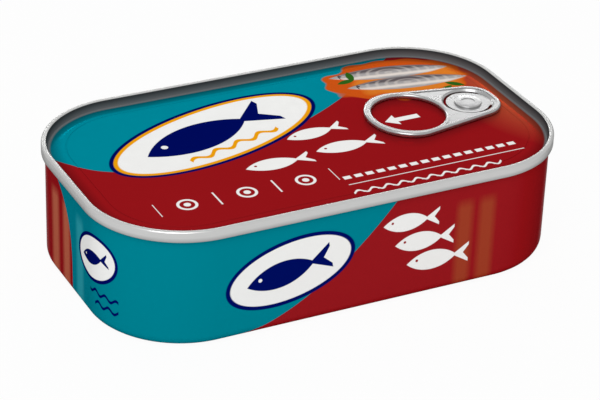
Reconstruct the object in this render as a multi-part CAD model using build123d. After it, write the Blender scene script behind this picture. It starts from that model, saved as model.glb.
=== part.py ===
from build123d import *
from math import radians, tan
import os

# A shut quarter-club sardine tin, in three pieces. The can body is drawn from one sheet, so its
# wall and base are one. The easy-open lid is rolled round the body's top edge in a double seam.
# The ring-pull is held on the lid by a rivet that is pressed out of the lid's own metal.
# Sizes are in millimetres. The origin is the middle of the base, +X runs along the tin towards
# the rivet and +Z points up.

# Can body
BODY_LENGTH = 104.0
BODY_WIDTH = 60.0
BODY_CORNER = 20.0          # plan radius of the wall's corners
HEIGHT = 27.0               # from the foot to the top of the seam
BASE_ROUND = 2.5            # radius between the wall and the foot
FOOT_WIDTH = 3.2            # flat band that the tin stands on
BASE_STEPS = 2              # expansion rings pressed into the base
BASE_STEP_DEPTH = 0.55
BASE_STEP_PITCH = 5.0
BASE_STEP_SLOPE = 1.2       # plan width of the slope at each ring's edge

# Double seam
SEAM_STANDOUT = 0.8         # from the wall out to the seam's face
SEAM_HEIGHT = 2.4
SEAM_THICKNESS = 1.2
SEAM_TOP_ROUND = 0.5
SEAM_HEM_ROUND = 0.25

# Lid panel
LID_GAUGE = 0.25
PANEL_DEPTH = 1.65          # from the top of the seam down to the panel
CHANNEL_DEPTH = 0.3         # from the panel down to the channel round it
CHANNEL_WIDTH = 0.5         # level part of the channel's floor
CHUCK_LEAN = 0.2            # how far the seam's inner wall leans in on its way down
SHOULDER_WIDTH = 2.3        # the panel's long slope down into the channel
SCORE_SETBACK = 0.9         # from the shoulder's top in to the line that tears
SCORE_WIDTH = 0.3
SCORE_DEPTH = 0.08

# Rivet
RIVET_SETBACK = 12.1        # from the seam's end face to the rivet's centre
RIVET_SHANK = 1.7           # radius, as the next two are
RIVET_BOSS = 3.3
RIVET_HEAD = 3.0
RIVET_HEAD_HEIGHT = 0.4
RIVET_HEAD_ROUND = 0.25
RIVET_DIMPLE = 1.5          # radius of the punch mark in the head
RIVET_DIMPLE_DEPTH = 0.15
SHANK_CLEARANCE = 0.05

# Ring-pull
TAB_CLEARANCE = 0.2         # under the rolled edge, above the panel
TAB_THICKNESS = 1.1
TAB_GAUGE = 0.35
TAB_CURL = 0.95             # width of the rolled edge
TAB_ROUND = 0.45
WEB_DROP = 0.15             # from the rolled edge down to the flat web
RING_SETBACK = 15.6         # from the rivet's centre to the ring's centre
RING_HALF_LENGTH = 8.6
RING_HALF_WIDTH = 10.0
RING_BAND = 1.55            # width of the ring's band
HOLE_SETBACK = 6.8          # from the rivet's centre to the near end of the finger hole
NOSE_REACH = 6.8            # from the rivet's centre to the tip of the nose
NOSE_CORNER = 5.9           # plan radius of the nose's corners
NOSE_FLAT = 2.0             # straight stretch between those corners
PAN_RADIUS = 5.75           # dished pan in the nose, round the rivet
PAN_FLOOR_RADIUS = 5.35
PAN_DEPTH = 0.4             # from the web down to the pan's floor
SLOT_WIDTH = 0.6            # C-shaped slot round the rivet's tongue
HINGE_ANGLE = 70.0          # degrees of the pan's floor left uncut at the nose

# Levels and places that follow
SEAM_LOW = HEIGHT - SEAM_HEIGHT
PANEL_TOP = HEIGHT - PANEL_DEPTH
CHANNEL_TOP = PANEL_TOP - CHANNEL_DEPTH
LID_UNDERSIDE = CHANNEL_TOP - LID_GAUGE
CHUCK_INSET = SEAM_THICKNESS - SEAM_STANDOUT
SHOULDER_INSET = CHUCK_INSET + CHUCK_LEAN + CHANNEL_WIDTH
SCORE_INSET = SHOULDER_INSET + SHOULDER_WIDTH + SCORE_SETBACK
RIVET_X = BODY_LENGTH / 2 + SEAM_STANDOUT - RIVET_SETBACK
RING_X = RIVET_X - RING_SETBACK
TAB_LOW = PANEL_TOP + TAB_CLEARANCE
TAB_TOP = TAB_LOW + TAB_THICKNESS
WEB_TOP = TAB_TOP - WEB_DROP
PAN_TOP = WEB_TOP - PAN_DEPTH
PAN_UNDERSIDE = PAN_TOP - TAB_GAUGE
HEAD_TOP = PAN_TOP + RIVET_HEAD_HEIGHT


def outline(inset, level):
    """The tin's plan at one level, drawn in from the wall by the same distance all round."""
    plan = RectangleRounded(BODY_LENGTH - 2 * inset, BODY_WIDTH - 2 * inset, BODY_CORNER - inset)
    return Pos(0, 0, level) * plan


def slab(inset, low, high):
    """An upright slab of the tin's plan."""
    return extrude(outline(inset, low), high - low)


def sloped_slab(low_inset, high_inset, low, high):
    """A slab of the tin's plan whose sides lean from one inset to the other."""
    return loft([outline(low_inset, low), outline(high_inset, high)], ruled=True)


def prism(sketch, low, high):
    """A flat plan raised between two levels."""
    return Pos(0, 0, low) * extrude(sketch, high - low)


def rivet_disc(radius, low, high):
    """A round piece about the rivet's axis."""
    return prism(Pos(RIVET_X, 0) * Circle(radius), low, high)


def edges_at(solid, level):
    """The edges that lie wholly at one level."""
    return solid.edges().filter_by_position(Axis.Z, level, level)


def make_body():
    """The drawn can, solid up to the lid because the tin is shut."""
    body = slab(0, 0, LID_UNDERSIDE)
    body = fillet(edges_at(body, 0), BASE_ROUND)
    for step in range(BASE_STEPS):
        inset = BASE_ROUND + FOOT_WIDTH + step * BASE_STEP_PITCH
        level = step * BASE_STEP_DEPTH
        body -= sloped_slab(inset, inset + BASE_STEP_SLOPE, level, level + BASE_STEP_DEPTH)
    return body


def make_rim():
    """The double seam and the floor inside it, hooked over the body's top edge."""
    rim = slab(-SEAM_STANDOUT, SEAM_LOW, HEIGHT)
    rim = fillet(edges_at(rim, SEAM_LOW), SEAM_HEM_ROUND)
    rim -= slab(0, SEAM_LOW, LID_UNDERSIDE)
    rim -= sloped_slab(CHUCK_INSET + CHUCK_LEAN, CHUCK_INSET, CHANNEL_TOP, HEIGHT)
    return fillet(edges_at(rim, HEIGHT), SEAM_TOP_ROUND)


def make_panel():
    """The raised middle of the lid, with its long shoulder and the line that tears."""
    shoulder_top = SHOULDER_INSET + SHOULDER_WIDTH
    panel = sloped_slab(SHOULDER_INSET, shoulder_top, CHANNEL_TOP, PANEL_TOP)
    score_low = PANEL_TOP - SCORE_DEPTH
    score = slab(SCORE_INSET, score_low, PANEL_TOP) - slab(SCORE_INSET + SCORE_WIDTH, score_low, PANEL_TOP)
    return panel - score


def make_rivet():
    """The boss under the ring-pull, the shank through it and the head over it."""
    head = rivet_disc(RIVET_HEAD, PAN_TOP, HEAD_TOP)
    head = fillet(edges_at(head, HEAD_TOP), RIVET_HEAD_ROUND)
    head -= rivet_disc(RIVET_DIMPLE, HEAD_TOP - RIVET_DIMPLE_DEPTH, HEAD_TOP)
    boss = rivet_disc(RIVET_BOSS, PANEL_TOP, PAN_UNDERSIDE)
    return boss + rivet_disc(RIVET_SHANK, PAN_UNDERSIDE, PAN_TOP) + head


def make_lid():
    """The easy-open end: seam, panel and rivet are one sheet of metal."""
    return make_rim() + make_panel() + make_rivet()


def tab_plan(inset):
    """The ring-pull's outline: an oval ring and a blunt nose, joined by tangents."""
    oval = Pos(RING_X, 0) * Ellipse(RING_HALF_LENGTH - inset, RING_HALF_WIDTH - inset)
    corner_x = RIVET_X + NOSE_REACH - NOSE_CORNER
    corners = [Pos(corner_x, side * NOSE_FLAT / 2) * Circle(NOSE_CORNER - inset) for side in (-1, 1)]
    return make_hull([edge for sketch in (oval, *corners) for edge in sketch.edges()])


def finger_hole(outset):
    """The hole in the ring, grown by outset. Its band is even except towards the rivet."""
    far_end = RING_X - RING_HALF_LENGTH + RING_BAND
    near_end = RIVET_X - HOLE_SETBACK
    half_length = (near_end - far_end) / 2 + outset
    return Pos((near_end + far_end) / 2, 0) * Ellipse(half_length, RING_HALF_WIDTH - RING_BAND + outset)


def tongue_slot():
    """The C-shaped slot that frees the rivet's tongue, open towards the nose."""
    ring = Circle(PAN_FLOOR_RADIUS) - Circle(PAN_FLOOR_RADIUS - SLOT_WIDTH)
    reach = 2 * PAN_FLOOR_RADIUS
    spread = reach * tan(radians(HINGE_ANGLE / 2))
    hinge = make_face(Polyline((0, 0), (reach, -spread), (reach, spread), close=True))
    return Pos(RIVET_X, 0) * (ring - hinge)


def make_pull():
    """The ring-pull: rolled edges, a thin web in the nose and a dished pan round the rivet."""
    pull = prism(tab_plan(0), TAB_LOW, TAB_TOP) - prism(finger_hole(0), TAB_LOW, TAB_TOP)
    pull = fillet(edges_at(pull, TAB_TOP) + edges_at(pull, TAB_LOW), TAB_ROUND)
    nose = tab_plan(TAB_CURL) - finger_hole(TAB_CURL)
    pull -= prism(nose, WEB_TOP, TAB_TOP)
    pull -= prism(nose, TAB_LOW, PAN_UNDERSIDE)
    pull -= prism(nose - Pos(RIVET_X, 0) * Circle(PAN_RADIUS), PAN_UNDERSIDE, WEB_TOP - TAB_GAUGE)
    pull -= Pos(RIVET_X, 0, WEB_TOP - PAN_DEPTH / 2) * Cone(PAN_FLOOR_RADIUS, PAN_RADIUS, PAN_DEPTH)
    pull -= prism(tongue_slot(), PAN_UNDERSIDE, PAN_TOP)
    return pull - rivet_disc(RIVET_SHANK + SHANK_CLEARANCE, PAN_UNDERSIDE, PAN_TOP)


os.makedirs("parts", exist_ok=True)
for name, piece in {"can_body": make_body(), "lid": make_lid(), "ring_pull": make_pull()}.items():
    export_step(piece, f"parts/{name}.step")
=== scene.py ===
import math
import bmesh
import bpy
from mathutils import Matrix, Vector


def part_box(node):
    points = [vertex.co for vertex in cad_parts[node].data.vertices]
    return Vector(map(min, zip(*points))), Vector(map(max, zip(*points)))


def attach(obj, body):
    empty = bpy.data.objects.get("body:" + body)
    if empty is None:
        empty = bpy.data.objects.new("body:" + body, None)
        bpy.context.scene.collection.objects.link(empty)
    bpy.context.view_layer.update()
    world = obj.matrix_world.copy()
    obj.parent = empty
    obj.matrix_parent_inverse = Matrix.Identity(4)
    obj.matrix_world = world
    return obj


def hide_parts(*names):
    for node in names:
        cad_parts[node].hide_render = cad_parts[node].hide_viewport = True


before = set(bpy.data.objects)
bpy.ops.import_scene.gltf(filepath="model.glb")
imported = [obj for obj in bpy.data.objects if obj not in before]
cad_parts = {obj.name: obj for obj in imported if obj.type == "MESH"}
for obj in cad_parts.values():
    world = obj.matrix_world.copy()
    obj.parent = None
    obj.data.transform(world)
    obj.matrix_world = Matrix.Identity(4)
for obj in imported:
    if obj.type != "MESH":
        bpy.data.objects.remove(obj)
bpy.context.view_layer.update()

# ---------------------------------------------------------------------------------------------
# The can body. One sheet of tinplate is printed flat, lacquered, and drawn into an oblong cup
# with rounded corners, so that its wall and its base with the pressed rings are one piece.
# Its sizes, and those of the lid and the rivet, are in millimetres.
# ---------------------------------------------------------------------------------------------
MM = 0.001
wall_low, wall_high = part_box("can_body")
LENGTH = (wall_high.x - wall_low.x) / MM
WIDTH = (wall_high.y - wall_low.y) / MM
WALL_TOP = wall_high.z / MM
CORNER = 20.0
STRAIGHT_X = LENGTH / 2 - CORNER
STRAIGHT_Y = WIDTH / 2 - CORNER
HALF_ROUND = 2 * (STRAIGHT_X + STRAIGHT_Y) + math.pi * CORNER

CORNER_STEPS = 48
SEWN_GAP = 0.002
SHEET_CREASE = 28.0         # degrees past which a bend in the sheet shows as a crease

BASE_ROUND = 2.5
FOOT_WIDTH = 3.2
BASE_STEPS = 2
BASE_STEP_PITCH = 5.0
BASE_STEP_DEPTH = 0.55
BASE_STEP_SLOPE = 1.2


def build_press():
    """Sweeps a section round the tin's plan and fills the flat field inside its last point."""
    tree = bpy.data.node_groups.new("pressed round a rounded oblong", "GeometryNodeTree")
    face = tree.interface
    face.new_socket("Section", in_out="INPUT", socket_type="NodeSocketGeometry")
    for label in ("Length", "Width", "Corner", "Field inset", "Field level"):
        face.new_socket(label, in_out="INPUT", socket_type="NodeSocketFloat")
    face.new_socket("Corner steps", in_out="INPUT", socket_type="NodeSocketInt")
    face.new_socket("Field faces up", in_out="INPUT", socket_type="NodeSocketBool")
    face.new_socket("Finish", in_out="INPUT", socket_type="NodeSocketMaterial")
    face.new_socket("Piece", in_out="OUTPUT", socket_type="NodeSocketGeometry")
    entry = tree.nodes.new("NodeGroupInput").outputs
    way_out = tree.nodes.new("NodeGroupOutput").inputs

    def put(kind, settings=None, **values):
        """Adds a node with its settings, then the values or links of its sockets."""
        node = tree.nodes.new(kind)
        for key, value in (settings or {}).items():
            setattr(node, key, value)
        for key, value in values.items():
            socket = node.inputs[key.replace("_", " ")]
            if isinstance(value, bpy.types.NodeSocket):
                tree.links.new(value, socket)
            else:
                socket.default_value = value
        return node

    def less(size, inset, times):
        """A size of the plan drawn in by an inset, once or twice."""
        node = put("ShaderNodeMath", {"operation": "MULTIPLY_ADD"})
        node.inputs[1].default_value = -times
        tree.links.new(inset, node.inputs[0])
        tree.links.new(size, node.inputs[2])
        return node.outputs[0]

    def plan(length, width, corner):
        """The tin's plan as a closed curve."""
        oblong = put("GeometryNodeCurvePrimitiveQuadrilateral", Width=length, Height=width)
        rounded = put(
            "GeometryNodeFilletCurve", {"mode": "POLY"},
            Curve=oblong.outputs[0], Radius=corner, Count=entry["Corner steps"],
        )
        return rounded.outputs[0]

    wall_line = plan(entry["Length"], entry["Width"], entry["Corner"])
    rail = put("GeometryNodeSetCurveNormal", {"mode": "Z_UP"}, Curve=wall_line)
    line = put("GeometryNodeMeshToCurve", Mesh=entry["Section"])
    swept = put("GeometryNodeCurveToMesh", Curve=rail.outputs[0], Profile_Curve=line.outputs[0])
    inset = entry["Field inset"]
    sides = (("Length", 2), ("Width", 2), ("Corner", 1))
    drawn_in = [less(entry[size], inset, times) for size, times in sides]
    field = put("GeometryNodeFillCurve", {"mode": "NGONS"}, Curve=plan(*drawn_in))
    lift = put("ShaderNodeCombineXYZ", Z=entry["Field level"])
    raised = put("GeometryNodeSetPosition", Geometry=field.outputs[0], Offset=lift.outputs[0])
    down = put("FunctionNodeBooleanMath", {"operation": "NOT"}, Boolean=entry["Field faces up"])
    facing = put("GeometryNodeFlipFaces", Mesh=raised.outputs[0], Selection=down.outputs[0])
    joined = tree.nodes.new("GeometryNodeJoinGeometry")
    for part in (facing, swept):
        tree.links.new(part.outputs[0], joined.inputs[0])
    sewn = put("GeometryNodeMergeByDistance", Geometry=joined.outputs[0], Distance=SEWN_GAP * MM)
    real = put("GeometryNodeRealizeInstances", Geometry=sewn.outputs[0])
    finished = put("GeometryNodeSetMaterial", Geometry=real.outputs[0], Material=entry["Finish"])
    tree.links.new(finished.outputs[0], way_out[0])
    return tree


press_tree = build_press()


def section_piece(name, section):
    """A new object that holds a section as a chain of edges.

    The sweep lays x out from the wall and y down, so insets and levels are both negated.
    """
    mesh = bpy.data.meshes.new(name)
    points = [(-inset * MM, -level * MM, 0) for inset, level in section]
    mesh.from_pydata(points, [(i, i + 1) for i in range(len(points) - 1)], [])
    piece = bpy.data.objects.new(name, mesh)
    bpy.context.scene.collection.objects.link(piece)
    return piece


def face_outwards(mesh, upwards):
    """Turns an open shell's faces so that its highest or lowest one looks out."""
    shell = bmesh.new()
    shell.from_mesh(mesh)
    bmesh.ops.recalc_face_normals(shell, faces=shell.faces)
    side = 1 if upwards else -1
    outermost = max(shell.faces, key=lambda part: part.calc_center_median().z * side)
    if (outermost.normal.z > 0) != upwards:
        bmesh.ops.reverse_faces(shell, faces=shell.faces)
    shell.to_mesh(mesh)
    shell.free()


def pressed(name, section, faces_up, finish):
    """A piece of sheet metal pressed round the tin's plan, with a flat field in its middle."""
    piece = section_piece(name, section)
    press = piece.modifiers.new("press", "NODES")
    press.node_group = press_tree
    field_inset, field_level = section[-1]
    values = {
        "Length": LENGTH * MM,
        "Width": WIDTH * MM,
        "Corner": CORNER * MM,
        "Field inset": field_inset * MM,
        "Field level": field_level * MM,
        "Corner steps": CORNER_STEPS,
        "Field faces up": faces_up,
        "Finish": finish,
    }
    for item in press_tree.interface.items_tree:
        if item.in_out == "INPUT" and item.name in values:
            press[item.identifier] = values[item.name]
    shape = piece.evaluated_get(bpy.context.evaluated_depsgraph_get())
    mesh = bpy.data.meshes.new_from_object(shape)
    piece.modifiers.remove(press)
    piece.data = mesh
    face_outwards(mesh, faces_up)
    mesh.shade_smooth()
    mesh.set_sharp_from_angle(angle=math.radians(SHEET_CREASE))
    return piece


def arc(centre, radius, start, end, steps=8):
    """Points of a section's rounding, as (inset, level); the angles are in degrees."""
    turns = [math.radians(start + (end - start) * i / steps) for i in range(steps + 1)]
    return [(centre[0] + radius * math.cos(a), centre[1] + radius * math.sin(a)) for a in turns]


def body_section():
    """The wall from its top edge down, round its foot and in over the pressed rings."""
    section = [(0.0, WALL_TOP)] + arc((BASE_ROUND, BASE_ROUND), BASE_ROUND, 180, 270)
    for step in range(BASE_STEPS):
        inset = BASE_ROUND + FOOT_WIDTH + step * BASE_STEP_PITCH
        level = step * BASE_STEP_DEPTH
        section += [(inset, level), (inset + BASE_STEP_SLOPE, level + BASE_STEP_DEPTH)]
    return section


class Ink:
    """A socket of a finish's nodes. Sums on numbers add Math nodes."""

    def __init__(self, tree, socket=None):
        self.tree = tree
        self.socket = socket

    def node(self, kind, settings=None, values=None, out=0):
        """Adds any node: its settings first, then the values or links of its sockets."""
        node = self.tree.nodes.new(kind)
        for key, value in (settings or {}).items():
            setattr(node, key, value)
        for key, value in (values or {}).items():
            if isinstance(value, Ink):
                self.tree.links.new(value.socket, node.inputs[key])
            else:
                node.inputs[key].default_value = value
        return Ink(self.tree, node.outputs[out])

    def other(self, out):
        """Another output of the node that this socket belongs to."""
        return Ink(self.tree, self.socket.node.outputs[out])

    def maths(self, operation, *others, clamp=False):
        values = dict(enumerate((self,) + others))
        return self.node("ShaderNodeMath", {"operation": operation, "use_clamp": clamp}, values)

    def __add__(self, other):
        return self.maths("ADD", other)

    def __sub__(self, other):
        return self.maths("SUBTRACT", other)

    def __mul__(self, other):
        return self.maths("MULTIPLY", other)

    def __rsub__(self, other):
        return self.node("ShaderNodeMath", {"operation": "SUBTRACT"}, {0: other, 1: self})

    __rmul__ = __mul__

    def least(self, other):
        return self.maths("MINIMUM", other)

    def most(self, other):
        return self.maths("MAXIMUM", other)

    def size(self):
        return self.maths("ABSOLUTE")

    def wave(self):
        return self.maths("SINE")

    def clamped(self):
        return self.maths("ADD", 0.0, clamp=True)


def new_finish(name):
    """An empty material: its shader, and a start for its sums."""
    finish = bpy.data.materials.new(name)
    finish.use_nodes = True
    tree = finish.node_tree
    tree.nodes.clear()
    shader = tree.nodes.new("ShaderNodeBsdfPrincipled")
    surface = tree.nodes.new("ShaderNodeOutputMaterial")
    tree.links.new(shader.outputs[0], surface.inputs["Surface"])
    return finish, shader, Ink(tree)


def place(ink):
    """The point's own coordinates on the tin: in millimetres one by one, and as a vector."""
    spot = ink.node("ShaderNodeTexCoord", out="Object")
    parts = ink.node("ShaderNodeSeparateXYZ", values={0: spot})
    return [parts.other(axis) * (1 / MM) for axis in range(3)], spot


def feed(shader, **links):
    """Links what changes over a surface to the shader's sockets."""
    for key, value in links.items():
        shader.id_data.links.new(value.socket, shader.inputs[key.replace("_", " ")])


def tint(red, green, blue):
    """A printed colour, given as it looks, turned to light."""
    return tuple((c / 255) ** 2.2 for c in (red, green, blue)) + (1.0,)


def paint(ground, colour, mask):
    """Lays a colour over the ground where the mask is 1."""
    sockets = {0: mask, 6: ground, 7: colour}
    return mask.node("ShaderNodeMix", {"data_type": "RGBA"}, sockets, out=2)


INK_EDGE = 0.12             # width of the step at a printed edge


def within(distance, edge=INK_EDGE):
    """1 inside a shape whose signed distance is given in millimetres, 0 outside it."""
    return (0.5 - distance * (1 / edge)).clamped()


def turned(x, y, centre, degrees=0.0):
    """Coordinates about a shape's centre, turned with it."""
    c, s = math.cos(math.radians(degrees)), math.sin(math.radians(degrees))
    x, y = x - centre[0], y - centre[1]
    return x * c + y * s, y * c - x * s


def reach(x, y):
    """The distance from the middle of a shape's own coordinates."""
    return (x * x + y * y).maths("SQRT")


def plan_inset(x, y):
    """How far a point of the plan lies in from the wall."""
    out_x = x.size() - STRAIGHT_X
    out_y = y.size() - STRAIGHT_Y
    outside = reach(out_x.most(0.0), out_y.most(0.0))
    return CORNER - outside - out_x.most(out_y).least(0.0)


def oval(x, y, half_length, half_width):
    """Signed distance, near enough, to an ellipse."""
    return (reach(x * (1 / half_length), y * (1 / half_width)) - 1) * min(half_length, half_width)


def leaf(x, y, half_length, half_width):
    """Signed distance to a shape with two pointed ends, cut out by two arcs."""
    radius = (half_length ** 2 + half_width ** 2) / (2 * half_width)
    return reach(x, y.size() + (radius - half_width)) - radius


# A printed fish's shape, as shares of its length
BODY_SHIFT, BODY_REACH, BODY_DEPTH = 0.12, 0.40, 0.155
TAIL_START, TAIL_REACH, TAIL_SPREAD = 0.22, 0.26, 0.62
TAIL_NOTCH, NOTCH_SLOPE = 0.11, 0.8
EYE_X, EYE_Y, EYE_RADIUS = -0.36, 0.03, 0.022


def fish(x, y, length):
    """Signed distance to a plain fish that swims to the left: a leaf with a notched tail."""
    body = leaf(x + BODY_SHIFT * length, y, BODY_REACH * length, BODY_DEPTH * length)
    tail_x = x - TAIL_START * length
    notch = (TAIL_NOTCH * length - y.size()).most(0) * NOTCH_SLOPE
    fan = (y.size() - tail_x * TAIL_SPREAD).most(tail_x - TAIL_REACH * length + notch).most(0 - tail_x)
    eye = reach(x - EYE_X * length, y - EYE_Y * length) - EYE_RADIUS * length
    return body.least(fan).most(0 - eye)


def ripple(x, y, length, height, weight, half_run):
    """Signed distance to a wavy line."""
    crest = (x * (2 * math.pi / length)).wave() * height
    return ((y - crest).size() - weight / 2).most(x.size() - half_run)


TEAL = tint(0, 132, 148)
# The next colour is a painted reflection, a glint on the teal field
GLINT_ON_TEAL = tint(60, 165, 178)
RED = tint(154, 32, 37)
# The next two colours are painted reflections, glints on the red field
GLINT_ON_RED = tint(164, 70, 46)
END_GLINT_ON_RED = tint(196, 116, 90)
NAVY = tint(0, 22, 98)
WHITE = tint(250, 250, 248)
BARE_BASE = tint(196, 190, 178)

INK_METAL = 0.3             # how much of the metal shines through the print
LACQUER_EDGE = (0.2, 0.2, 0.2, 1.0)
ORANGE_PEEL_SCALE = 380.0
BUMP_STRENGTH = 0.008
BUMP_HEIGHT = 0.0001

# Where the wall's teal and red fields meet: a swell on the long side, a leaning line on the end
SWELL_START, SWELL_RISE = -33.7, 8.3
LEAN_FOOT, LEAN_REACH, LEAN_LEVEL, LEAN_POWER = -1.1, 6.7, 22.8, 4.0

# Painted reflections, soft upright glints in the wall's colour: their places along the wall, or back from the
# middle of its end
GLINT_HALF, GLINT_EDGE = 1.7, 1.6
FRONT_GLINTS = (23.4, 28.7)
END_GLINTS = (8.0, 2.0)
TEAL_GLINT = 5.3
GLINT_TOP, GLINT_FADE = 21.5, 0.4

# Plaques, as ovals of ink from the outside in: colour, half length, half width
SIDE_PLAQUE = ((NAVY, 14.6, 7.4), (WHITE, 13.6, 6.5))
END_PLAQUE = ((NAVY, 7.6, 5.4), (WHITE, 6.8, 4.6))


def way_round(x, y):
    """How far round the wall a point is from the middle of its side; the far half is turned over."""
    flip = 1 - y.maths("GREATER_THAN", 0.0) * 2
    x, y = x * flip, y * flip
    along = x.size().least(STRAIGHT_X)
    across = y.most(-STRAIGHT_Y).least(STRAIGHT_Y)
    angle = (y - across).maths("ARCTAN2", x.size() - along)
    return (along + (angle + math.pi / 2) * CORNER + across + STRAIGHT_Y) * x.maths("SIGN")


def glints(way, *middles):
    """1 along upright bands at these places, where reflections are painted."""
    nearest = (way - middles[0]).size()
    for middle in middles[1:]:
        nearest = nearest.least((way - middle).size())
    return within(nearest - GLINT_HALF, GLINT_EDGE)


def plaque(colour, x, y, ovals, fish_length, fish_rise=0.0):
    """A plain oval plaque with a plain fish in its middle."""
    for ring, half_length, half_width in ovals:
        colour = paint(colour, ring, within(oval(x, y, half_length, half_width)))
    return paint(colour, NAVY, within(fish(x, y - fish_rise, fish_length)))


def wall_fields(way, z):
    """The wall's two printed fields of colour, with soft glints painted into them as reflections. Half the
    way round is one repeat.
    """
    end = HALF_ROUND / 2
    swell = z.most(0.0).maths("SQRT") * SWELL_RISE + SWELL_START
    lean = (z.most(0.0) * (1 / LEAN_LEVEL)).maths("POWER", LEAN_POWER) * LEAN_REACH + LEAN_FOOT
    sea = (way - swell).most(-end - lean - way).least(end - lean - way)
    # painted reflections: lighter upright glints painted into the red and teal fields, fading out towards the
    # top
    height = ((GLINT_TOP - z) * GLINT_FADE).clamped()
    red_with_glints = paint(RED, GLINT_ON_RED, glints(way, *FRONT_GLINTS) * height * 0.85)
    red_with_glints = paint(red_with_glints, END_GLINT_ON_RED, glints(way, *(end - back for back in END_GLINTS)) * height * 0.8)
    teal_with_glint = paint(TEAL, GLINT_ON_TEAL, glints(way, TEAL_GLINT - end) * height * 0.75)
    return paint(red_with_glints, teal_with_glint, within(sea))


def orange_peel(spot):
    """The lacquer's faint unevenness, and the bump that it makes."""
    settings = {"Vector": spot, "Scale": ORANGE_PEEL_SCALE, "Detail": 1.0}
    grain = spot.node("ShaderNodeTexNoise", values=settings)
    bump = {"Height": grain, "Strength": BUMP_STRENGTH, "Distance": BUMP_HEIGHT}
    return grain, grain.node("ShaderNodeBump", values=bump)


def lacquered(shader):
    """Sets what is the same all over a print: a thin clear lacquer with little shine of its own."""
    shader.inputs["Specular IOR Level"].default_value = 0.0
    shader.inputs["Specular Tint"].default_value = LACQUER_EDGE


def body_print():
    """The wall's print with its painted glints, and the bare metal of the base."""
    finish, shader, ink = new_finish("printed_wall")
    (x, y, z), spot = place(ink)
    way = way_round(x, y)
    colour = wall_fields(way, z)
    colour = plaque(colour, *turned(way, z, (-16.5, 13.4), 11), SIDE_PLAQUE, 19.0)
    for row in range(3):
        swimmer = turned(way, z, (11.0 + 3.4 * row, 18.7 - 5.1 * row))
        colour = paint(colour, WHITE, within(fish(*swimmer, 13.0 + 0.8 * row)))
    colour = plaque(colour, *turned(way, z, (-61.0, 15.0), 14), END_PLAQUE, 10.0)
    for row in range(2):
        line = turned(way, z, (-58.0 + row, 7.6 - 2.4 * row))
        colour = paint(colour, NAVY, within(ripple(*line, 3.2, 0.45, 0.7, 4.6 - row)))
    base = within(BASE_ROUND - 0.6 - plan_inset(x, y), 0.3)
    colour = paint(colour, BARE_BASE, base)
    grain, bump = orange_peel(spot)
    feed(shader, Base_Color=colour, Metallic=base * 0.6 + INK_METAL, Normal=bump)
    feed(shader, Roughness=grain * 0.06 + 0.15)
    lacquered(shader)
    return finish


can = pressed("drawn_can", body_section(), False, body_print())
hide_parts("can_body")
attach(can, "root")

# ---------------------------------------------------------------------------------------------
# The easy-open lid. A second printed sheet, pressed with a countersunk panel and a scored line,
# is rolled round the body's top edge in a double seam of bare metal.
# ---------------------------------------------------------------------------------------------
lid_low, lid_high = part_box("lid")
STANDOUT = lid_high.x / MM - LENGTH / 2
TOP = lid_high.z / MM
SEAM_LOW = lid_low.z / MM
SEAM_THICKNESS = 1.2
TOP_ROUND = 0.5
HEM_ROUND = 0.25
PANEL = TOP - 1.65
CHANNEL = PANEL - 0.3
CHUCK_INSET = SEAM_THICKNESS - STANDOUT
CHANNEL_START = CHUCK_INSET + 0.2
CHANNEL_END = CHANNEL_START + 0.5
SHOULDER_TOP = CHANNEL_END + 2.3
SCORE_INSET = SHOULDER_TOP + 0.9
SCORE_WIDTH = 0.3
SCORE_DEPTH = 0.08
SCORE_SLOPE = 0.04
SOFT_BEND = 0.5
BEND_STEPS = 6
RIVET_X = LENGTH / 2 + STANDOUT - 12.1
RIVET_BOSS = 3.3


def bent(section):
    """The section with each of its inner corners bent round, as pressed metal is."""
    soft = [section[0]]
    for before, here, after in zip(section, section[1:], section[2:]):
        a, b, c = Vector(before), Vector(here), Vector(after)
        near = min(SOFT_BEND, (a - b).length / 2.5, (c - b).length / 2.5)
        first, last = b + (a - b).normalized() * near, b + (c - b).normalized() * near
        for i in range(BEND_STEPS + 1):
            t = i / BEND_STEPS
            soft.append(tuple(first * (1 - t) ** 2 + b * 2 * t * (1 - t) + last * t ** 2))
    return soft + [section[-1]]


def lid_section():
    """From under the seam's hem, out and over the seam, and in to the panel's scored line."""
    section = [(0.0, SEAM_LOW)]
    section += arc((-STANDOUT + HEM_ROUND, SEAM_LOW + HEM_ROUND), HEM_ROUND, 270, 180, 4)
    section += arc((-STANDOUT + TOP_ROUND, TOP - TOP_ROUND), TOP_ROUND, 180, 90)
    section += arc((CHUCK_INSET - TOP_ROUND, TOP - TOP_ROUND), TOP_ROUND, 90, 0)
    floor_part = [section.pop(), (CHANNEL_START, CHANNEL), (CHANNEL_END, CHANNEL)]
    floor_part += [(SHOULDER_TOP, PANEL), (SCORE_INSET, PANEL)]
    score_end = SCORE_INSET + SCORE_WIDTH
    score = [(SCORE_INSET + SCORE_SLOPE, PANEL - SCORE_DEPTH), (score_end - SCORE_SLOPE, PANEL - SCORE_DEPTH)]
    return section + bent(floor_part) + score + [(score_end, PANEL)]


LID_TEAL = tint(0, 141, 159)
AMBER = tint(246, 166, 22)
# painted reflection: the warm glow on the lid's red
PAINTED_GLOW = tint(200, 104, 72)
SAUCE = tint(208, 92, 34)
BRIGHT_SAUCE = tint(226, 130, 54)
SILVER = tint(172, 168, 168)
BACK = tint(92, 84, 88)
BELLY = tint(232, 222, 214)
HERB = tint(58, 104, 40)
SHADE = tint(16, 20, 22)
# painted shade and dark reflection: the lid's inner wall, darkest at its top and lighter at its foot
CHUCK_SHADE_TOP = tint(38, 40, 42)
CHUCK_SHADE_FOOT = tint(112, 114, 116)
SEAM_METAL = tint(204, 204, 203)
# painted shade: the seam's face darker towards its lower edge
HEM_SHADE = tint(96, 98, 98)

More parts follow.
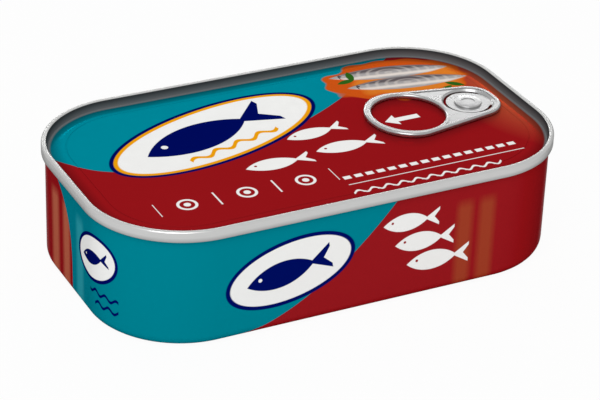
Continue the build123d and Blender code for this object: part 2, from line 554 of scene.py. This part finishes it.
# The lid's shore: a long curve over the panel, and a steep rise at the left end
SHORE_X, SHORE_Y, SHORE_CURVE = -30.0, -1.1, 0.0068
RISE_X, RISE_RATE = -38.4, -0.187

LID_PLAQUE = ((NAVY, 27.2, 11.6), (AMBER, 26.2, 10.7), (WHITE, 25.2, 9.8))
SWIMMERS = ((-8.5, -7.8, 15.0, 0), (8.4, -6.4, 15.0, 0), (4.6, 1.6, 14.0, 6))    # x, y, length, tilt
HERBS = ((40.5, 9.0, 30), (43.5, 10.5, -40), (23.5, 22.5, 80), (21.5, 20.5, 10))    # x, y, tilt


def silver_fish(colour, x, y):
    """One fish of the picture: a dark back, a pale belly, rows of scales, a gill and an eye."""
    body = leaf(x, y, 14.0, 2.9)
    colour = paint(colour, SILVER, within(body))
    colour = paint(colour, BACK, within(body.most(0.9 - y), 0.9) * 0.9)
    colour = paint(colour, BELLY, within(body.most((y + 1.2).size() - 0.6), 0.7))
    scales = (reach(x * 0.9, y * 1.6) * 3.2).wave().most(0.0)
    colour = paint(colour, BELLY, within(body + 0.5) * scales * 0.35)
    gill = ((reach(x + 9.6, y) - 2.1).size() - 0.16).most(x + 9.2)
    colour = paint(colour, BACK, within(body.most(gill)))
    return paint(colour, BACK, within(reach(x + 11.4, y - 0.3) - 0.42))


def picture(colour, x, y):
    """Two silver fish side by side on a pool of sauce, drawn in a few flat shapes."""
    px, py = turned(x, y, (33.0, 17.5), -9)
    edge = (px * 0.9).wave() * 0.5 + (py * 1.3).wave() * 0.4
    colour = paint(colour, SAUCE, within(oval(px, py, 16.5, 9.8) + edge, 0.5))
    colour = paint(colour, BRIGHT_SAUCE, within(oval(px - 2, py + 1.0, 12.5, 6.6) + edge, 1.6))
    for off, lift in ((-1.0, 3.6), (1.5, -2.0)):
        colour = silver_fish(colour, px - off, py - lift)
    for hx, hy, tilt in HERBS:
        colour = paint(colour, HERB, within(leaf(*turned(x, y, (hx, hy), tilt), 2.3, 0.85)))
    return colour


def repeat(x, start, pitch):
    """The distance from the middle of the nearest step of a row."""
    return ((x - start) * (1 / pitch)).maths("FRACT") * pitch - pitch / 2


def rows_of_marks(colour, x, y):
    """Fine rows along the near edge: round marks between rules, dashes, a line and a wavy line."""
    lane = within(((x + 20.2).size() - 19.8).most((y + 17.2).size() - 4.0))
    pitch = 13.2
    step = repeat(x, -40.0, pitch)
    from_middle = reach(step, y + 16.6)
    ring = (from_middle - 1.9).size() - 0.3
    bead = from_middle - 0.75
    rule = ((pitch / 2 - step.size()).size() - 0.18).most((y + 16.6).size() - 2.6)
    colour = paint(colour, WHITE, lane * within(ring.least(bead).least(rule)))
    run = (x - 21.0).size() - 20.8
    dashes = (repeat(x, 0.0, 2.6).size() - 0.85).most((y + 19.0).size() - 0.62).most(run)
    line = ((y + 21.9).size() - 0.12).most(run)
    wavy = ripple(x - 17.0, y + 25.2, 3.4, 0.55, 0.62, 17.4)
    return paint(colour, WHITE, within(dashes.least(wavy).least(line)))


def arrow(x, y):
    """Signed distance to a plain arrow that points to the left."""
    head = (y.size() - (x + 4.2) * 0.8).most(x + 1.4)
    shaft = ((x - 1.2).size() - 2.8).most(y.size() - 0.85)
    return head.least(shaft)


def lid_ink(x, y):
    """All that is printed on the lid, from the fields of colour up, and a warm glow painted at the panel's
    right end as a reflection.
    """
    # painted reflection: a warm glow painted into the red at the panel's right end
    painted_glow = within(reach(x - 54.0, (y - 3.0) * 0.55) - 9.0, 14.0)
    colour = paint(RED, PAINTED_GLOW, painted_glow * 0.85)
    from_start = x - SHORE_X
    rise = ((x - RISE_X) * RISE_RATE).maths("EXPONENT")
    shore = from_start * from_start * SHORE_CURVE + SHORE_Y + rise
    colour = paint(colour, LID_TEAL, within(shore - y))
    px, py = turned(x, y, (-15.5, 9.2), 17)
    colour = plaque(colour, px, py, LID_PLAQUE, 34.0, fish_rise=1.0)
    colour = paint(colour, AMBER, within(ripple(px, py + 6.3, 6.0, 0.8, 1.1, 12.0)))
    for sx, sy, length, tilt in SWIMMERS:
        colour = paint(colour, WHITE, within(fish(*turned(x, y, (sx, sy), tilt), length)))
    colour = picture(colour, x, y)
    colour = rows_of_marks(colour, x, y)
    return paint(colour, WHITE, within(arrow(*turned(x, y, (24.5, 0.0)))))


def lid_print():
    """The lid's print, painted shade on its inner wall, along the panel's edge and low on the seam, and the
    bare metal of the seam and the rivet's foot.
    """
    finish, shader, ink = new_finish("printed_lid")
    (x, y, z), spot = place(ink)
    inset = plan_inset(x, y)
    colour = lid_ink(x, y)
    # painted shade along the panel's edge by the wall
    colour = paint(colour, SHADE, within(inset - SHOULDER_TOP + 1.0, 2.4) * 0.42)
    # painted shade and dark reflection: the inner wall painted dark, darkest at its top and lighter towards
    # the channel
    chuck = within(inset - CHANNEL_END, 0.4)
    depth = ((TOP - z) * (1 / (TOP - CHANNEL))).clamped()
    colour = paint(colour, paint(CHUCK_SHADE_TOP, CHUCK_SHADE_FOOT, depth), chuck)
    seam = within(inset - CHUCK_INSET + 0.16, 0.08)
    foot = within(reach(x - RIVET_X, y) - RIVET_BOSS - 0.1, 0.1) * within(PANEL + 0.05 - z, 0.04)
    bare = seam.most(foot)
    colour = paint(colour, SEAM_METAL, bare)
    # painted shade: the seam's bare metal darkened towards its lower edge
    hem = ((SEAM_LOW + 1.1 - z) * 0.9).clamped() * seam * 0.5
    colour = paint(colour, HEM_SHADE, hem)
    grain, bump = orange_peel(spot)
    metal = bare * 0.6 + INK_METAL * (1 - bare.most(chuck))
    feed(shader, Base_Color=colour, Metallic=metal, Normal=bump)
    feed(shader, Roughness=grain * 0.06 + 0.13 + bare * 0.14)
    lacquered(shader)
    return finish


lid = pressed("easy_open_lid", lid_section(), True, lid_print())
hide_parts("lid")
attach(lid, "root")

# ---------------------------------------------------------------------------------------------
# The rivet. It is pressed up out of the lid's own metal, so it is part of the same sheet: a low
# boss under the ring-pull, a shank, and a head flattened by a punch that leaves a round mark.
# ---------------------------------------------------------------------------------------------
RIVET_HEAD = 3.0
HEAD_ROUND = 0.25
HEAD_TOP = TOP - 0.5
PAN_TOP = HEAD_TOP - 0.4
PAN_LOW = PAN_TOP - 0.35
RIVET_SHANK = 1.7
PUNCH_MARK = 1.5
PUNCH_SLOPE = 0.08
PUNCH_LEVEL = HEAD_TOP - 0.15
TURNS = 96
TURNED_CREASE = 35.0


def rivet_section():
    """From the panel up over the boss, the shank and the head, to the punch mark's middle."""
    section = [(0, PANEL), (RIVET_BOSS, PANEL), (RIVET_BOSS, PAN_LOW)]
    section += [(RIVET_SHANK, PAN_LOW), (RIVET_SHANK, PAN_TOP), (RIVET_HEAD, PAN_TOP)]
    section += arc((RIVET_HEAD - HEAD_ROUND, HEAD_TOP - HEAD_ROUND), HEAD_ROUND, 0, 90, 6)
    return section + [(PUNCH_MARK, HEAD_TOP), (PUNCH_MARK - PUNCH_SLOPE, PUNCH_LEVEL), (0, PUNCH_LEVEL)]


def turned_piece(name, section, centre_x, finish):
    """A round piece about an upright axis, from its section as (radius, level)."""
    lathe = bmesh.new()
    rings = []
    for radius, level in section:
        angles = [2 * math.pi * i / TURNS for i in range(TURNS)] if radius > 0 else [0]
        spots = [(centre_x + radius * math.cos(a), radius * math.sin(a), level) for a in angles]
        rings.append([lathe.verts.new([c * MM for c in spot]) for spot in spots])
    for low_ring, high_ring in zip(rings, rings[1:]):
        for i in range(TURNS):
            pairs = [(low_ring, i), (low_ring, i + 1), (high_ring, i + 1), (high_ring, i)]
            corners = [ring[step % len(ring)] for ring, step in pairs]
            lathe.faces.new(list(dict.fromkeys(corners)))
    bmesh.ops.recalc_face_normals(lathe, faces=lathe.faces)
    mesh = bpy.data.meshes.new(name)
    lathe.to_mesh(mesh)
    lathe.free()
    mesh.shade_smooth()
    mesh.set_sharp_from_angle(angle=math.radians(TURNED_CREASE))
    mesh.materials.append(finish)
    piece = bpy.data.objects.new(name, mesh)
    bpy.context.scene.collection.objects.link(piece)
    return piece


def bare_metal():
    """Rolled aluminium, left bare: a satin grey with fine lines along the tin."""
    finish, shader, ink = new_finish("bare_aluminium")
    spot = place(ink)[1]
    rolled = spot.node("ShaderNodeMapping", values={"Vector": spot, "Scale": (40.0, 500.0, 200.0)})
    lines = rolled.node("ShaderNodeTexNoise", values={"Vector": rolled, "Scale": 1.0, "Detail": 1.0})
    bump = {"Height": lines, "Strength": BUMP_STRENGTH, "Distance": BUMP_HEIGHT}
    shader.inputs["Base Color"].default_value = tint(172, 172, 172)
    shader.inputs["Metallic"].default_value = 0.9
    feed(shader, Roughness=lines * 0.12 + 0.22, Normal=lines.node("ShaderNodeBump", values=bump))
    return finish


aluminium = bare_metal()
rivet = turned_piece("rivet", rivet_section(), RIVET_X, aluminium)
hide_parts("lid")
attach(rivet, "root")

# ---------------------------------------------------------------------------------------------
# The ring-pull. One strip of aluminium, stamped and curled over at its outer edge and round the
# finger hole, with a thin web and a dished pan whose tongue the rivet holds.
# ---------------------------------------------------------------------------------------------
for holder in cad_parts["ring_pull"].material_slots:
    holder.material = aluminium

# ---------------------------------------------------------------------------------------------
# The floor and the studio: a pale floor just under the foot, a white surround, a soft key lamp,
# a strip behind the tin, and the camera. Sizes from here on are in metres.
# ---------------------------------------------------------------------------------------------
FLOOR_HALF = 1.5
FLOOR_LEVEL = -0.0002
FLOOR_WHITE = 0.95          # share of the floor's white that the shadow doesn't touch
AMBIENT = 0.62


def looked_at(ink):
    """1 for what the camera sees straight, in a reflection or through glass."""
    camera_ray = ink.node("ShaderNodeLightPath", out="Is Camera Ray")
    seen = camera_ray.most(camera_ray.other("Is Glossy Ray"))
    return seen.most(camera_ray.other("Is Transmission Ray"))


def floor_finish():
    """Pale paper that shows white to the camera and in reflections, and keeps a soft shadow."""
    finish = bpy.data.materials.new("pale_floor")
    finish.use_nodes = True
    tree = finish.node_tree
    tree.nodes.clear()
    ink = Ink(tree)
    paper = ink.node("ShaderNodeBsdfDiffuse", values={"Color": (0.8, 0.8, 0.8, 1)})
    white = ink.node("ShaderNodeEmission", values={"Strength": 1.0})
    share = looked_at(ink) * FLOOR_WHITE
    mixed = ink.node("ShaderNodeMixShader", values={0: share, 1: paper, 2: white})
    surface = tree.nodes.new("ShaderNodeOutputMaterial")
    tree.links.new(mixed.socket, surface.inputs["Surface"])
    return finish


floor_mesh = bpy.data.meshes.new("floor")
corners = [(x * FLOOR_HALF, y * FLOOR_HALF, FLOOR_LEVEL) for x, y in ((-1, -1), (1, -1), (1, 1), (-1, 1))]
floor_mesh.from_pydata(corners, [], [(0, 1, 2, 3)])
floor_mesh.materials.append(floor_finish())
floor = bpy.data.objects.new("floor", floor_mesh)
bpy.context.scene.collection.objects.link(floor)

world = bpy.data.worlds.new("studio")
bpy.context.scene.world = world
world.use_nodes = True
sky = world.node_tree
sky.nodes.clear()
strength = looked_at(Ink(sky)) * (1 - AMBIENT) + AMBIENT
surround = strength.node("ShaderNodeBackground", values={"Strength": strength})
sky_out = sky.nodes.new("ShaderNodeOutputWorld")
sky.links.new(surround.socket, sky_out.inputs["Surface"])

LIT_POINT = Vector((0, 0, 0.02))


def lamp(name, spot, width, height, power):
    """A soft box that looks at the tin; its power is in watts."""
    light = bpy.data.lights.new(name, "AREA")
    light.shape = "RECTANGLE"
    light.size, light.size_y = width, height
    light.energy = power
    rig = bpy.data.objects.new(name, light)
    rig.location = spot
    rig.rotation_euler = (LIT_POINT - Vector(spot)).to_track_quat("-Z", "Y").to_euler()
    bpy.context.scene.collection.objects.link(rig)


lamp("key", (-0.35, -0.45, 0.75), 0.5, 0.5, 4.2)
lamp("rear strip", (0.25, 0.75, 0.30), 0.9, 0.05, 1.4)

AZIMUTH, ELEVATION, ROLL = (math.radians(a) for a in (-27.547, 28.953, 2.197))
DISTANCE = 0.501937
LENS_LENGTH = 141.45498     # in millimetres, on a sensor 36 wide
SENSOR_WIDTH = 36.0
AIM_RIGHT, AIM_UP = 0.000374, -0.002471
AIM_LEVEL = Vector((0, 0, 0.0135))

level_right = Vector((math.cos(AZIMUTH), math.sin(AZIMUTH), 0))
level_back = Vector((math.sin(AZIMUTH), -math.cos(AZIMUTH), 0))
back = level_back * math.cos(ELEVATION) + Vector((0, 0, math.sin(ELEVATION)))
level_up = back.cross(level_right)
right = level_right * math.cos(ROLL) + level_up * math.sin(ROLL)
up = level_up * math.cos(ROLL) - level_right * math.sin(ROLL)
stand = right * AIM_RIGHT + up * AIM_UP + AIM_LEVEL + back * DISTANCE
lens = bpy.data.cameras.new("camera")
lens.sensor_width = SENSOR_WIDTH
lens.lens = LENS_LENGTH
camera = bpy.data.objects.new("camera", lens)
camera.matrix_world = Matrix.Translation(stand) @ Matrix((right, up, back)).transposed().to_4x4()
bpy.context.scene.collection.objects.link(camera)
bpy.context.scene.camera = camera
bpy.context.scene.view_settings.view_transform = "Standard"
